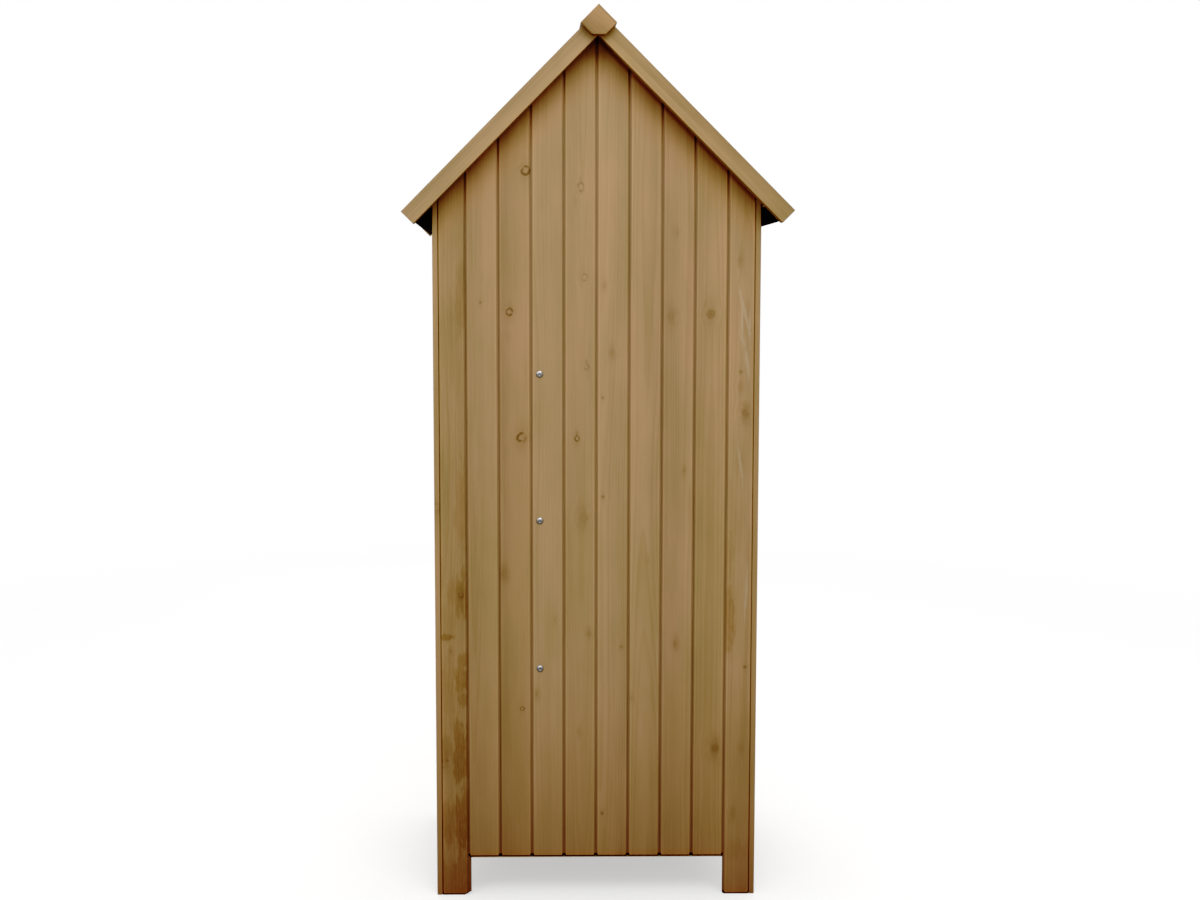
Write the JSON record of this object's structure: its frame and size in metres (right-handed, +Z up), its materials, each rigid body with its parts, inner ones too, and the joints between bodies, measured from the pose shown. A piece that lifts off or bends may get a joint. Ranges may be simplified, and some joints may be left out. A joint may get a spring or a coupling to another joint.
{
  "type": "garden storage cabinet",
  "caption": "Tall narrow timber garden cabinet with a steep felted gable roof, barge boards, boarded walls, a hinged and hasped door, shelves and a tall tool bay.",
  "frame": {"origin": "middle of the base, on the ground between the four feet", "axes": "+Z up; the door faces -Y and the plain boarded back faces +Y; +X is to the right of someone who faces the door"},
  "size_m": [0.77, 0.542, 1.79],
  "materials": {
    "cladding_wood": "stained planed fir, satin, with knots and fine grain",
    "framing_wood": "plain sawn fir battens and boards",
    "roofing_felt": "black mineral roofing felt, matt and slightly gritty",
    "zinc_plated_steel": "bright zinc plate",
    "black_painted_metal": "black powder coat"
  },
  "bodies": {
    "cabinet": {"back_board_1": "cladding_wood", "back_board_2": "cladding_wood", "back_board_3": "cladding_wood", "back_board_4": "cladding_wood", "back_board_5": "cladding_wood", "back_board_6": "cladding_wood", "back_board_7": "cladding_wood", "back_board_8": "cladding_wood", "back_leg_board_left": "cladding_wood", "back_leg_board_right": "cladding_wood", "back_shelf_screws": "zinc_plated_steel", "back_top_rail": "framing_wood", "barge_board_front_left": "cladding_wood", "barge_board_front_right": "cladding_wood", "barge_board_rear_left": "cladding_wood", "barge_board_rear_right": "cladding_wood", "divider_uprights": "framing_wood", "door_stops": "framing_wood", "eave_battens": "framing_wood", "felt_nails": "zinc_plated_steel", "finial_front": "cladding_wood", "finial_rear": "cladding_wood", "floor_boards": "framing_wood", "floor_frame": "framing_wood", "frame_hardware_screws": "zinc_plated_steel", "front_corner_posts": "framing_wood", "front_gable_boards": "cladding_wood", "front_header_rail": "framing_wood", "front_stile_left": "cladding_wood", "front_stile_right": "cladding_wood", "gable_rafters": "framing_wood", "hasp_staple": "zinc_plated_steel", "hinge_frame_leaves": "zinc_plated_steel", "hinge_pins": "zinc_plated_steel", "rear_corner_posts": "framing_wood", "ridge_beam": "framing_wood", "ridge_felt_strip": "roofing_felt", "roof_boards_left": "framing_wood", "roof_boards_right": "framing_wood", "roof_felt_left": "roofing_felt", "roof_felt_right": "roofing_felt", "shelf_cleats": "framing_wood", "shelf_lower": "framing_wood", "shelf_middle": "framing_wood", "shelf_upper": "framing_wood", "side_boards_left": "cladding_wood", "side_boards_right": "cladding_wood", "tool_hooks": "zinc_plated_steel", "tool_rail": "framing_wood", "wall_plates": "framing_wood"},
    "door": {"door_boards": "cladding_wood", "door_ledges": "framing_wood", "door_braces": "framing_wood", "door_ledge_screws": "zinc_plated_steel", "door_handle": "black_painted_metal", "door_hardware_screws": "zinc_plated_steel", "hinge_door_leaves": "zinc_plated_steel", "hasp_base": "zinc_plated_steel", "hasp_pin": "zinc_plated_steel"},
    "hasp": {"hasp_strap": "zinc_plated_steel"}
  },
  "joints": [
    {"name": "door_hinge", "type": "hinge", "parent": "cabinet", "child": "door", "pos_m": [-0.2605, -0.2178, 0.725], "axis": [0, 0, -1], "range_deg": [0, 170]},
    {"name": "hasp_hinge", "type": "hinge", "parent": "door", "child": "hasp", "pos_m": [0.228, -0.2178, 0.96], "axis": [0, 0, -1], "range_deg": [0, 170]}
  ]
}
